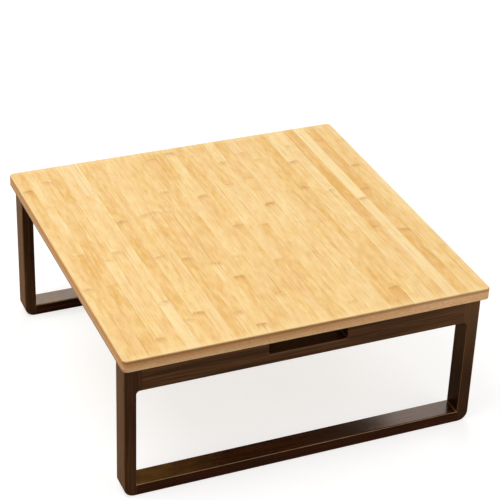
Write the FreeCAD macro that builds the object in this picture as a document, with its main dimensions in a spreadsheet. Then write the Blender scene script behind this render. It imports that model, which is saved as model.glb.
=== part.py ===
import FreeCAD, Part
import os
import re

import Sketcher

# Low folding table: a bamboo top on two loop-shaped leg frames that fold flat underneath it.
#
# Sizes are in millimetres. The origin is on the floor under the middle of the top. X runs along
# the leg frames, Y along the strips of the top, from the front frame to the back one, and Z is up.
# The front frame and its left hinge are drawn, and the other pieces are their mirror images.

SIZES = {
    # Tabletop
    "top_width": 600,
    "top_depth": 600,
    "top_thickness": 20,
    "top_corner_radius": 8,
    "top_arris_radius": 2.5,
    "table_height": 260,
    # Leg frames
    "side_overhang": 6,
    "end_overhang": 16,
    "frame_depth": 36,
    "post_width": 20,
    "top_rail_height": 48,
    "foot_rail_height": 20,
    "foot_corner_radius": 17,
    "inner_corner_radius": 6,
    "shoulder_margin": 2,
    "frame_arris_radius": 2,
    "grip_length": 130,
    "grip_bar_height": 18,
    "grip_corner_radius": 3,
    # Dowels between posts and rails
    "dowel_diameter": 8,
    "dowel_post_wall": 8,
    "dowel_depth_in_rail": 16,
    "dowel_clearance": 0.05,
    "dowel_end_gap": 0.5,
    # Hinge plates
    "hinge_inset": 84,
    "hinge_width": 44,
    "plate_thickness": 2,
    "plate_corner_radius": 4,
    "pivot_offset": 8,
    "swing_clearance": 0.3,
    "cheek_clearance": 1.5,
    "hinge_side_clearance": 0.3,
    "leg_plate_margin": 6,
    # Pivot pin
    "pin_diameter": 5,
    "pin_clearance": 0.05,
    "pin_head_diameter": 8,
    "pin_head_height": 1.2,
    # Detent leaf spring and its rivets
    "detent_depth": 0.9,
    "detent_width": 2.2,
    "detent_clearance": 0.15,
    "spring_thickness": 0.6,
    "spring_lip": 1.6,
    "spring_seat_length": 13,
    "spring_side_clearance": 0.5,
    "rivet_spacing": 18,
    "rivet_diameter": 3,
    "rivet_head_diameter": 5.6,
    "rivet_head_height": 1,
    "rivet_clearance": 0.05,
    # Wood screws
    "screw_diameter": 3.5,
    "screw_length": 14,
    "screw_tip_length": 4,
    "screw_head_diameter": 7,
    "screw_head_height": 1.8,
    "screw_clearance": 0.05,
    "screw_hole_extra": 1,
    "recess_length": 4,
    "recess_width": 1,
    "recess_depth": 1.2,
    "screw_edge_distance": 7,
    "screw_side_distance": 9,
    "screw_row_spacing": 13,
    "screw_spring_gap": 8,
}

# Levels and faces that several pieces share
UNDERSIDE = "(table_height - top_thickness)"
FRAME_END = "(top_width / 2 - side_overhang)"
POST_INNER = "(top_width / 2 - side_overhang - post_width)"
RAIL_END = f"({POST_INNER} - inner_corner_radius - shoulder_margin)"
FRAME_FRONT = "(end_overhang - top_depth / 2)"
FRAME_MIDDLE = "(end_overhang + frame_depth / 2 - top_depth / 2)"
FRAME_BACK = "(end_overhang + frame_depth - top_depth / 2)"
RAIL_UNDERSIDE = "(table_height - top_thickness - top_rail_height)"
GRIP_FLOOR = f"({RAIL_UNDERSIDE} + grip_bar_height)"
DOWEL_DEPTH_IN_POST = "(post_width - dowel_post_wall)"

# Hinge shapes, in the hinge's own frame: Y inward from the rail and Z up to the tabletop's underside
HINGE_X = "(hinge_inset + post_width + side_overhang - top_width / 2)"
EAR_RADIUS = "(pivot_offset - plate_thickness - swing_clearance)"
CHEEK_RADIUS = "(pivot_offset - cheek_clearance)"
LEG_PLATE_WIDTH = "(hinge_width - 2 * plate_thickness - 2 * hinge_side_clearance)"
PIN_HOLE_RADIUS = "(pin_diameter / 2 + pin_clearance)"
SPRING_TIP = f"(pivot_offset + {EAR_RADIUS} - detent_depth + detent_clearance)"
SPRING_BEND = f"({SPRING_TIP} + pivot_offset - plate_thickness)"
SPRING_END = f"({SPRING_BEND} + spring_seat_length)"
RIVET_ROW = f"({SPRING_BEND} + spring_seat_length / 2)"
TABLE_SCREW_MIDDLE = f"({SPRING_END} + screw_spring_gap + screw_row_spacing / 2)"
TABLE_PLATE_END = f"({TABLE_SCREW_MIDDLE} + screw_row_spacing / 2 + screw_edge_distance)"
LEG_PLATE_END = "(top_rail_height - leg_plate_margin)"
LEG_SCREW_MIDDLE = f"({LEG_PLATE_END} - screw_edge_distance - screw_row_spacing / 2)"

AXES = {
    "x": FreeCAD.Vector(1, 0, 0),
    "y": FreeCAD.Vector(0, 1, 0),
    "z": FreeCAD.Vector(0, 0, 1),
}
SIZE_NAME = re.compile(r"\b(" + "|".join(SIZES) + r")\b")
SAME_PLACE = 1e-4

doc = FreeCAD.newDocument("folding_table")
sheet = doc.addObject("Spreadsheet::Sheet", "Sizes")
for row, (name, size) in enumerate(SIZES.items(), start=1):
    sheet.set(f"A{row}", name)
    sheet.set(f"B{row}", str(size))
    sheet.setAlias(f"B{row}", name)
doc.recompute()


# Sizes and places

def number(formula):
    """The value of a formula over the sheet's sizes."""
    return float(sheet.evalExpression(formula))


def bind(thing, field, formula):
    """Tie a field to a formula over the sheet's sizes."""
    thing.setExpression(field, SIZE_NAME.sub(r"Sizes.\1", formula))


def place(thing, at, turn=FreeCAD.Rotation()):
    """Put a thing at a point given as three formulas."""
    thing.Placement = FreeCAD.Placement(FreeCAD.Vector(*map(number, at)), turn)
    for axis, formula in zip("xyz", at):
        bind(thing, f"Placement.Base.{axis}", formula)


# Sketches and features of one body

def new_body(name):
    """An empty body."""
    return doc.addObject("PartDesign::Body", name)


def new_sketch(body, plane, offset="0"):
    """A sketch on one of the body's own planes, shifted along its normal."""
    sketch = body.newObject("Sketcher::SketchObject", f"{body.Name}_sketch")
    support = [feature for feature in body.Origin.OriginFeatures if feature.Role == plane]
    sketch.AttachmentSupport = [(support[0], "")]
    sketch.MapMode = "FlatFace"
    bind(sketch, "AttachmentOffset.Base.z", offset)
    return sketch


def add_measure(sketch, formula, kind, *target):
    """A dimension in a sketch, tied to a formula."""
    index = sketch.addConstraint(Sketcher.Constraint(kind, *target, number(formula)))
    bind(sketch, f"Constraints[{index}]", formula)


def draw_outline(sketch, points):
    """Close an outline counterclockwise through points given as formulas.

    A point (x, y) starts a line, and a point (x, y, radius) starts an arc that bulges outward.
    """
    first = sketch.GeometryCount
    corners = [FreeCAD.Vector(number(point[0]), number(point[1]), 0) for point in points]
    for point, start, end in zip(points, corners, corners[1:] + corners[:1]):
        edge = Part.LineSegment(start, end)
        if len(point) == 3:
            chord = end - start
            radius = number(point[2])
            rise = (radius ** 2 - (chord.Length / 2) ** 2) ** 0.5
            side = AXES["z"].cross(chord).normalize()
            circle = Part.Circle((start + end) / 2 + side * rise, AXES["z"], radius)
            edge = Part.ArcOfCircle(circle, circle.parameter(start), circle.parameter(end))
        sketch.addGeometry(edge, False)
    for step, point in enumerate(points):
        following = first + (step + 1) % len(points)
        sketch.addConstraint(Sketcher.Constraint("Coincident", first + step, 2, following, 1))
        add_measure(sketch, point[0], "DistanceX", first + step, 1)
        add_measure(sketch, point[1], "DistanceY", first + step, 1)
        if len(point) == 3:
            add_measure(sketch, point[2], "Radius", first + step)


def draw_circle(sketch, x, y, radius):
    """A circle about a point given as formulas."""
    centre = FreeCAD.Vector(number(x), number(y), 0)
    circle = sketch.addGeometry(Part.Circle(centre, AXES["z"], number(radius)), False)
    add_measure(sketch, x, "DistanceX", circle, 3)
    add_measure(sketch, y, "DistanceY", circle, 3)
    add_measure(sketch, radius, "Radius", circle)


def rectangle(low_x, low_y, high_x, high_y):
    """The corners of a rectangle, counterclockwise."""
    return [(low_x, low_y), (high_x, low_y), (high_x, high_y), (low_x, high_y)]


def pad(sketch, length, side="One side", backward=False):
    """Thicken a sketch along its normal, against it, or to both sides."""
    body = sketch.getParentGeoFeatureGroup()
    feature = body.newObject("PartDesign::Pad", f"{body.Name}_pad")
    feature.Profile = sketch
    feature.SideType = side
    feature.Reversed = backward
    bind(feature, "Length", length)
    doc.recompute()
    return feature


def turned(name, outline, axis="V_Axis", plane="XZ_Plane"):
    """A body turned about an axis of its sketch."""
    body = new_body(name)
    sketch = new_sketch(body, plane)
    draw_outline(sketch, outline)
    feature = body.newObject("PartDesign::Revolution", f"{name}_turn")
    feature.Profile = sketch
    feature.ReferenceAxis = (sketch, [axis])
    doc.recompute()
    return body


def round_edges(body, radius, wanted):
    """Round the edges of a body whose centres pass a test."""
    base = body.Tip
    names = [
        f"Edge{index}"
        for index, edge in enumerate(base.Shape.Edges, start=1)
        if wanted(edge.CenterOfMass)
    ]
    feature = body.newObject("PartDesign::Fillet", f"{body.Name}_rounding")
    feature.Base = (base, names)
    bind(feature, "Radius", radius)
    doc.recompute()


def same(one, other):
    """Whether two lengths agree, whatever their signs."""
    return abs(abs(one) - abs(other)) < SAME_PLACE


# Solids, cuts, mirror images and groups

def box(name, low, high):
    """A box between two corners given as formulas."""
    solid = doc.addObject("Part::Box", name)
    for side, start, end in zip(("Length", "Width", "Height"), low, high):
        bind(solid, side, f"{end} - ({start})")
    place(solid, low)
    return solid


def rod(name, diameter, length, start, along):
    """A round rod from a point, along one of the axes."""
    solid = doc.addObject("Part::Cylinder", name)
    bind(solid, "Radius", f"({diameter}) / 2")
    bind(solid, "Height", length)
    place(solid, start, FreeCAD.Rotation(AXES["z"], AXES[along]))
    return solid


def cut(name, base, tool):
    """The base without the tool."""
    result = doc.addObject("Part::Cut", name)
    result.Base = base
    result.Tool = tool
    return result


def common(name, base, tool):
    """What the base and the tool share."""
    result = doc.addObject("Part::Common", name)
    result.Base = base
    result.Tool = tool
    return result


def mirrored(name, source, axis, at="0"):
    """The mirror image of a thing in a plane square to an axis."""
    image = doc.addObject("Part::Mirroring", name)
    image.Source = source
    image.Normal = AXES[axis]
    bind(image, f"Base.{axis}", at)
    return image


def both(things, axis, at="0"):
    """Things together with their mirror images."""
    return things + [mirrored(f"{thing.Name}_{axis}", thing, axis, at) for thing in things]


def group(name, things):
    """Separate solids kept as one thing."""
    result = doc.addObject("Part::Compound", name)
    result.Links = things
    return result


# Bamboo top

def make_top():
    """The panel with its rounded corners and arrises, before it is drilled."""
    body = new_body("tabletop_panel")
    sketch = new_sketch(body, "XY_Plane", UNDERSIDE)
    outline = rectangle("-top_width / 2", "-top_depth / 2", "top_width / 2", "top_depth / 2")
    draw_outline(sketch, outline)
    pad(sketch, "top_thickness")
    side = number("top_width / 2")
    end = number("top_depth / 2")
    round_edges(body, "top_corner_radius", lambda at: same(at.x, side) and same(at.y, end))
    for level in map(number, ("table_height", UNDERSIDE)):
        round_edges(body, "top_arris_radius", lambda at: same(at.z, level))
    return body


# Leg frames

def make_frame():
    """The glued-up front loop with its grip, before it is split into its members."""
    body = new_body("front_frame")
    sketch = new_sketch(body, "XZ_Plane", f"-{FRAME_FRONT}")
    draw_outline(sketch, [
        (f"-{FRAME_END}", "0"),
        (FRAME_END, "0"),
        (FRAME_END, UNDERSIDE),
        ("grip_length / 2", UNDERSIDE),
        ("grip_length / 2", GRIP_FLOOR),
        ("-grip_length / 2", GRIP_FLOOR),
        ("-grip_length / 2", UNDERSIDE),
        (f"-{FRAME_END}", UNDERSIDE),
    ])
    draw_outline(sketch, rectangle(f"-{POST_INNER}", "foot_rail_height", POST_INNER, RAIL_UNDERSIDE))
    pad(sketch, "frame_depth", backward=True)
    roundings = [
        ("foot_corner_radius", FRAME_END, "0"),
        ("inner_corner_radius", POST_INNER, RAIL_UNDERSIDE),
        ("grip_corner_radius", "grip_length / 2", GRIP_FLOOR),
    ]
    for radius, x, z in roundings:
        corner_x = number(x)
        corner_z = number(z)
        round_edges(body, radius, lambda at: same(at.x, corner_x) and same(at.z, corner_z))
    # The flat top stays square, because it bears on the panel
    top = number(UNDERSIDE)
    for face in map(number, (FRAME_FRONT, FRAME_BACK)):
        round_edges(body, "frame_arris_radius", lambda at: same(at.y, face) and not same(at.z, top))
    return body


def make_dowels(name, clearance, end_gap):
    """The dowels of the front frame, at the quarter points of its rails, or the holes for them."""
    diameter = f"dowel_diameter + 2 * {clearance}"
    length = f"{DOWEL_DEPTH_IN_POST} + dowel_depth_in_rail + 2 * {end_gap}"
    seats = []
    for side in ("-", "+"):
        seats.append((
            f"-{RAIL_END} - {DOWEL_DEPTH_IN_POST} - {end_gap}",
            FRAME_MIDDLE,
            f"{UNDERSIDE} - top_rail_height / 2 {side} top_rail_height / 4",
        ))
        seats.append((
            f"-{POST_INNER} - {DOWEL_DEPTH_IN_POST} - {end_gap}",
            f"{FRAME_MIDDLE} {side} frame_depth / 4",
            "foot_rail_height / 2",
        ))
    left = [rod(f"{name}_rod", diameter, length, seat, "x") for seat in seats]
    return group(name, both(left, "x"))


# Wood screws

def make_screw(name):
    """A countersunk wood screw with a cross recess, pointing up from the centre of its head."""
    body = turned(name, [
        ("0", "0"),
        ("screw_head_diameter / 2", "0"),
        ("screw_diameter / 2", "screw_head_height"),
        ("screw_diameter / 2", "screw_length - screw_tip_length"),
        ("0", "screw_length"),
    ])
    solid_volume = body.Shape.Volume
    long = "recess_length / 2"
    short = "recess_width / 2"
    sketch = new_sketch(body, "XY_Plane")
    draw_outline(sketch, [
        (f"-{long}", f"-{short}"),
        (f"-{short}", f"-{short}"),
        (f"-{short}", f"-{long}"),
        (short, f"-{long}"),
        (short, f"-{short}"),
        (long, f"-{short}"),
        (long, short),
        (short, short),
        (short, long),
        (f"-{short}", long),
        (f"-{short}", short),
        (f"-{long}", short),
    ])
    recess = body.newObject("PartDesign::Pocket", f"{name}_recess")
    recess.Profile = sketch
    recess.Reversed = True
    bind(recess, "Length", "recess_depth")
    doc.recompute()
    if body.Shape.Volume >= solid_volume:
        raise ValueError(f"{name}: the recess cuts nothing")
    return body


def make_screw_hole(name):
    """The countersunk hole that a screw goes through, and its pilot hole in the wood."""
    hole_radius = "screw_diameter / 2 + screw_clearance"
    head_radius = "screw_head_diameter / 2 + screw_clearance"
    return turned(name, [
        ("0", "-screw_clearance"),
        (head_radius, "-screw_clearance"),
        (head_radius, "0"),
        (hole_radius, "screw_head_height"),
        (hole_radius, "screw_length + screw_hole_extra"),
        ("0", "screw_length + screw_hole_extra"),
    ])


def table_screw_spots(first):
    """A table screw, or its hole, at all four corners of the front left table plate."""
    place(first, (
        f"{HINGE_X} - hinge_width / 2 + screw_side_distance",
        f"{FRAME_BACK} + {TABLE_SCREW_MIDDLE} - screw_row_spacing / 2",
        f"{UNDERSIDE} - plate_thickness",
    ))
    return both(both([first], "x", HINGE_X), "y", f"{FRAME_BACK} + {TABLE_SCREW_MIDDLE}")


def leg_screw_spots(first):
    """A leg screw, or its hole, at all four spots of the front left leg plate."""
    outward = FreeCAD.Rotation(AXES["z"], -AXES["y"])
    place(first, (
        f"{HINGE_X} - {LEG_PLATE_WIDTH} / 2 + screw_side_distance",
        f"{FRAME_BACK} + plate_thickness",
        f"{UNDERSIDE} - {LEG_SCREW_MIDDLE} - screw_row_spacing / 2",
    ), outward)
    return both(both([first], "x", HINGE_X), "z", f"{UNDERSIDE} - {LEG_SCREW_MIDDLE}")


# Hinges

def place_in_hinge(body):
    """Move a body drawn in the hinge's own frame to the front left hinge."""
    place(body, (HINGE_X, FRAME_BACK, UNDERSIDE))


def add_flanges(body, width, outline):
    """Two upright flanges with pin holes, flush with the sides of a plate."""
    for side, backward in (("", True), ("-", False)):
        sketch = new_sketch(body, "YZ_Plane", f"{side}{width} / 2")
        draw_outline(sketch, outline)
        draw_circle(sketch, "pivot_offset", "-pivot_offset", PIN_HOLE_RADIUS)
        pad(sketch, "plate_thickness", backward=backward)


def make_table_plate():
    """The channel under the panel, whose two cheeks carry the pivot pin."""
    body = new_body("table_plate_blank")
    front = f"pivot_offset - {CHEEK_RADIUS}"
    base = new_sketch(body, "XY_Plane")
    draw_outline(base, rectangle("-hinge_width / 2", front, "hinge_width / 2", TABLE_PLATE_END))
    pad(base, "plate_thickness", backward=True)
    cheek_end = f"2 * pivot_offset + {CHEEK_RADIUS} * sqrt(2) - plate_thickness"
    add_flanges(body, "hinge_width", [
        (front, "0"),
        (front, "-pivot_offset", CHEEK_RADIUS),
        (f"pivot_offset + {CHEEK_RADIUS} / sqrt(2)", f"-pivot_offset - {CHEEK_RADIUS} / sqrt(2)"),
        (cheek_end, "-plate_thickness"),
        (cheek_end, "0"),
    ])
    half_width = number("hinge_width / 2")
    far_end = number(TABLE_PLATE_END)
    round_edges(body, "plate_corner_radius", lambda at: same(at.y, far_end) and same(at.x, half_width))
    place_in_hinge(body)
    return body


def make_leg_plate():
    """The plate on the rail, whose two ears turn on the pin and have a notch for each position."""
    body = new_body("leg_plate_blank")
    half_width = f"{LEG_PLATE_WIDTH} / 2"
    back = new_sketch(body, "XZ_Plane")
    top = f"{EAR_RADIUS} - pivot_offset"
    draw_outline(back, rectangle(f"-{half_width}", f"-{LEG_PLATE_END}", half_width, top))
    pad(back, "plate_thickness", backward=True)
    notch = "detent_width / 2"
    rim = f"sqrt({EAR_RADIUS}^2 - ({notch})^2)"
    notch_floor = f"({EAR_RADIUS} - detent_depth)"
    add_flanges(body, LEG_PLATE_WIDTH, [
        ("0", f"-pivot_offset - {EAR_RADIUS}"),
        (f"pivot_offset - {notch}", f"-pivot_offset - {EAR_RADIUS}"),
        ("pivot_offset", f"-pivot_offset - {notch_floor}"),
        (f"pivot_offset + {notch}", f"-pivot_offset - {rim}", EAR_RADIUS),
        (f"pivot_offset + {rim}", f"-pivot_offset - {notch}"),
        (f"pivot_offset + {notch_floor}", "-pivot_offset"),
        (f"pivot_offset + {rim}", f"-pivot_offset + {notch}", EAR_RADIUS),
        ("pivot_offset", f"-pivot_offset + {EAR_RADIUS}"),
        ("0", f"-pivot_offset + {EAR_RADIUS}"),
    ])
    side = number(half_width)
    low_end = number(LEG_PLATE_END)
    round_edges(body, "plate_corner_radius", lambda at: same(at.z, low_end) and same(at.x, side))
    place_in_hinge(body)
    return body


def make_pin():
    """The pivot pin, with a head outside each cheek."""
    inner = "hinge_width / 2"
    outer = "hinge_width / 2 + pin_head_height"
    rim = "pin_head_diameter / 2"
    face = "pin_head_diameter / 2 - pin_head_height"
    body = turned("front_left_hinge_pin", [
        (f"-({outer})", "0"),
        (outer, "0"),
        (outer, face),
        (inner, rim),
        (inner, "pin_diameter / 2"),
        (f"-{inner}", "pin_diameter / 2"),
        (f"-{inner}", rim),
        (f"-({outer})", face),
    ], axis="H_Axis", plane="XY_Plane")
    place(body, (HINGE_X, f"{FRAME_BACK} + pivot_offset", f"{UNDERSIDE} - pivot_offset"))
    return body


def make_spring():
    """The bent leaf spring under the table plate, with its lip in the notches of the ears."""
    body = new_body("detent_spring_blank")
    sketch = new_sketch(body, "YZ_Plane")
    draw_outline(sketch, [
        (SPRING_END, "-plate_thickness"),
        (SPRING_BEND, "-plate_thickness"),
        (SPRING_TIP, "-pivot_offset"),
        (f"{SPRING_TIP} + spring_lip", "-pivot_offset - spring_lip"),
        (
            f"{SPRING_TIP} + spring_lip + spring_thickness / sqrt(2)",
            "-pivot_offset - spring_lip + spring_thickness / sqrt(2)",
        ),
        (f"{SPRING_TIP} + spring_thickness * sqrt(2)", "-pivot_offset"),
        (
            f"{SPRING_BEND} + spring_thickness * (sqrt(2) - 1)",
            "-plate_thickness - spring_thickness",
        ),
        (SPRING_END, "-plate_thickness - spring_thickness"),
    ])
    width = "hinge_width - 2 * plate_thickness - 2 * spring_side_clearance"
    pad(sketch, width, side="Symmetric")
    place_in_hinge(body)
    return body


def make_rivets():
    """The two rivets that hold the front left spring to its table plate."""
    seat = "-plate_thickness - spring_thickness"
    head_radius = "rivet_head_diameter / 2"
    first = turned("detent_rivet", [
        ("0", f"{seat} - rivet_head_height"),
        (f"{head_radius} - rivet_head_height / 2", f"{seat} - rivet_head_height"),
        (head_radius, seat),
        ("rivet_diameter / 2", seat),
        ("rivet_diameter / 2", "0"),
        ("0", "0"),
    ])
    place(first, (f"{HINGE_X} - rivet_spacing / 2", f"{FRAME_BACK} + {RIVET_ROW}", UNDERSIDE))
    return both([first], "x", HINGE_X)


def make_rivet_holes():
    """The holes for those rivets through the spring and the table plate."""
    start = (
        f"{HINGE_X} - rivet_spacing / 2",
        f"{FRAME_BACK} + {RIVET_ROW}",
        f"{UNDERSIDE} - pivot_offset",
    )
    diameter = "rivet_diameter + 2 * rivet_clearance"
    first = rod("rivet_hole", diameter, "pivot_offset + top_thickness", start, "z")
    return group("rivet_holes", both([first], "x", HINGE_X))


# Front left quarter of the hardware

table_screws = table_screw_spots(make_screw("table_screw"))
table_screw_holes = table_screw_spots(make_screw_hole("table_screw_hole"))
leg_screws = leg_screw_spots(make_screw("leg_screw"))
leg_screw_holes = leg_screw_spots(make_screw_hole("leg_screw_hole"))
rivets = make_rivets()
rivet_holes = make_rivet_holes()

plate_holes = group("table_plate_holes", table_screw_holes)
drilled_plate = cut("table_plate_drilled", make_table_plate(), plate_holes)
table_plate = cut("front_left_table_plate", drilled_plate, rivet_holes)
leg_plate = cut("front_left_leg_plate", make_leg_plate(), group("leg_plate_holes", leg_screw_holes))
pin = make_pin()
spring = cut("front_left_detent_spring", make_spring(), rivet_holes)

# Front frame, split at its joints and drilled

frame = make_frame()
dowels = make_dowels("front_dowels", "0", "0")
dowel_holes = make_dowels("dowel_holes", "dowel_clearance", "dowel_end_gap")
rail_screw_holes = group("rail_screw_holes", both(leg_screw_holes, "x"))

rail_space = box(
    "top_rail_space",
    (f"-{RAIL_END}", "-top_depth / 2", "table_height / 2"),
    (RAIL_END, "0", "table_height"),
)
foot_space = box(
    "foot_rail_space",
    (f"-{POST_INNER}", "-top_depth / 2", "-foot_rail_height"),
    (POST_INNER, "0", "table_height / 2"),
)
left_space = box(
    "left_space",
    ("-top_width / 2", "-top_depth / 2", "-foot_rail_height"),
    ("0", "0", "table_height"),
)
left_half = common("front_left_half", frame, left_space)
post_with_foot = cut("front_left_post_with_foot", left_half, rail_space)
plain_post = cut("front_left_post_plain", post_with_foot, foot_space)
left_post = cut("front_left_post", plain_post, dowel_holes)
right_post = mirrored("front_right_post", left_post, "x")
foot_rail = cut("front_foot_rail", common("front_foot_rail_plain", frame, foot_space), dowel_holes)
plain_rail = common("front_top_rail_plain", frame, rail_space)
dowelled_rail = cut("front_top_rail_dowelled", plain_rail, dowel_holes)
top_rail = cut("front_top_rail", dowelled_rail, rail_screw_holes)

# Every node, with the mirror images

pilot_holes = group("tabletop_pilot_holes", both(both(table_screw_holes, "x"), "y"))
nodes = [
    cut("tabletop", make_top(), pilot_holes),
    group("table_plate_screws", both(both(table_screws, "x"), "y")),
    group("detent_rivets", both(both(rivets, "x"), "y")),
]
front_pieces = [left_post, right_post, top_rail, foot_rail, dowels]
front_pieces.append(group("front_leg_plate_screws", both(leg_screws, "x")))
for left_piece in (table_plate, leg_plate, pin, spring):
    right_name = left_piece.Name.replace("left", "right")
    front_pieces += [left_piece, mirrored(right_name, left_piece, "x")]
for front_piece in front_pieces:
    back_name = front_piece.Name.replace("front", "back")
    nodes += [front_piece, mirrored(back_name, front_piece, "y")]

doc.recompute()
for thing in doc.Objects:
    if {"Invalid", "Error"} & set(thing.State):
        raise ValueError(f"{thing.Label}: {thing.State}")
for node in nodes:
    if node.Shape.isNull() or not node.Shape.isValid() or not node.Shape.Solids:
        raise ValueError(f"{node.Label}: no valid solid")

os.makedirs("parts", exist_ok=True)
for node in nodes:
    node.Shape.exportStep(f"parts/{node.Label}.step")
    print(f"{node.Label}: {len(node.Shape.Solids)} solids, {node.Shape.Volume:.1f} cubic mm")
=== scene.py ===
"""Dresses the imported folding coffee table: a bamboo top on two stained leg frames that fold.

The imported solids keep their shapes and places. Each gets the finish of the real piece, drawn in the
piece's own millimetres, and the floor, the lamps and the camera are set round them.
"""

import logging
import math
from dataclasses import dataclass, field, replace
from enum import Enum

import bmesh
import bpy
from mathutils import Matrix, Vector

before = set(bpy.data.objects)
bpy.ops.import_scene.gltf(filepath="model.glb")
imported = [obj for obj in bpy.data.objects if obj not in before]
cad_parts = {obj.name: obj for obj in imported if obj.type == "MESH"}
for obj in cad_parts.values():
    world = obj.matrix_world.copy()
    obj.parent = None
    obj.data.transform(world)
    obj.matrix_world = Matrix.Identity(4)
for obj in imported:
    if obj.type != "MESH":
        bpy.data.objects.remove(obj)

LOG = logging.getLogger("coffee_table")
# In a metre, which is the unit of the frame.
MILLIMETRES = 1000.0
# Patterns, tones and the way across a strip all run from 0 to 1, with this in the middle.
MIDDLE = 0.5
# The sRGB curve: a straight foot up to the knee, and a power of the lifted value above it.
SRGB_FULL = 255
SRGB_KNEE = 0.04045
SRGB_FOOT = 12.92
SRGB_LIFT = 0.055
SRGB_POWER = 2.4

Nodes = dict[str, bpy.types.Object]
Socket = bpy.types.NodeSocket
Value = Socket | float | tuple[float, ...] | None
# The range of a pattern that is used, and the two values that the range is turned into.
Ramp = tuple[float, float, float, float]
# How far a pattern runs across and along the grain, in millimetres, and how much it counts.
Spread = tuple[float, float, float]
# Where a pattern starts to show and where it shows in full.
Edge = tuple[float, float]
# How many finer noises a noise is built of, and how much each finer one counts.
Octaves = tuple[float, float]
# Those of fibres and grain lines, which have finer lines between them.
GRAIN_OCTAVES: Octaves = (4.0, 0.6)


class Axis(Enum):
    """An axis of the table, which grain runs along or a broad face looks along."""

    CROSSWISE = 0
    LENGTHWISE = 1
    UPRIGHT = 2


class End(Enum):
    """The end of the table that a leg frame stands at."""

    FRONT = "front"
    BACK = "back"


class Side(Enum):
    """The side of the table that a hinge or a post is on."""

    LEFT = "left"
    RIGHT = "right"


def linear(colour: str) -> tuple[float, float, float, float]:
    """Turns an sRGB colour into the linear one that the shaders take.

    Args:
        colour: six hex digits after a hash.

    Returns:
        Red, green, blue and a full alpha, linear.
    """
    values = []
    for byte in bytes.fromhex(colour.removeprefix("#")):
        share = byte / SRGB_FULL
        lifted = (share + SRGB_LIFT) / (1 + SRGB_LIFT)
        values.append(share / SRGB_FOOT if share <= SRGB_KNEE else lifted**SRGB_POWER)
    return (*values, 1.0)


@dataclass(frozen=True)
class Box:
    """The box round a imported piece, in millimetres."""

    low: Vector
    high: Vector


def box_round(piece: bpy.types.Object) -> Box:
    """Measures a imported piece.

    Args:
        piece: the piece, whose own axes are those of the frame.

    Returns:
        The box round it.
    """
    corners = [Vector(corner) * MILLIMETRES for corner in piece.bound_box]
    low = Vector([min(values) for values in zip(*corners)])
    high = Vector([max(values) for values in zip(*corners)])
    return Box(low, high)


def moved(ramp: Ramp, distance: float) -> Ramp:
    """Moves the range of a ramp, which keeps its two values.

    Args:
        ramp: the range and its values.
        distance: how far the range is moved, in millimetres.

    Returns:
        The moved ramp.
    """
    start, end, first, last = ramp
    return (start + distance, end + distance, first, last)


class Wiring:
    """A node tree that is being filled."""

    def __init__(self, tree: bpy.types.NodeTree) -> None:
        """Takes on the tree to fill."""
        self.tree = tree

    def add(
        self,
        kind: str,
        *values: Value,
        output: int | str = 0,
        named: dict[str, Value] | None = None,
        stops: tuple[tuple[float, str], ...] = (),
        **settings: object,
    ) -> Socket:
        """Adds one node with its settings and links.

        Args:
            kind: the node's type, without its ShaderNode prefix.
            values: a value or another node's output for each input in turn, None to leave it be.
            output: the name or place of the output to hand back.
            named: values or outputs for inputs by name.
            stops: a colour ramp's positions and sRGB colours.
            settings: the node's own properties.

        Returns:
            The chosen output.
        """
        node = self.tree.nodes.new("ShaderNode" + kind)
        for name, setting in settings.items():
            setattr(node, name, setting)
        for place, value in [*enumerate(values), *(named or {}).items()]:
            self.feed(node.inputs[place], value)
        # A new ramp has two stops, which are moved first. A third is added to them.
        for number, (position, colour) in enumerate(stops):
            elements = node.color_ramp.elements
            stop = elements[number] if number < len(elements) else elements.new(position)
            stop.position = position
            stop.color = linear(colour)
        return node.outputs[output]

    def feed(self, socket: Socket, value: Value) -> None:
        """Links an output to a socket, or sets the socket's own value.

        Args:
            socket: the input to feed.
            value: another node's output, a plain value, or None to leave the socket be.
        """
        if isinstance(value, bpy.types.NodeSocket):
            self.tree.links.new(value, socket)
        elif value is not None:
            socket.default_value = value

    def seen(self, mirrored: Value) -> Socket:
        """Finds the rays that show the background.

        Args:
            mirrored: how much of the background shows in a gloss.

        Returns:
            1 for what the eye sees, plainly or through glass, and the given share in a gloss.
        """
        path = self.add("LightPath").node.outputs
        gloss = self.add("Math", path["Is Glossy Ray"], mirrored, operation="MULTIPLY")
        plain = self.add("Math", path["Is Camera Ray"], path["Is Transmission Ray"], operation="MAXIMUM")
        return self.add("Math", plain, gloss, operation="MAXIMUM")


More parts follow.
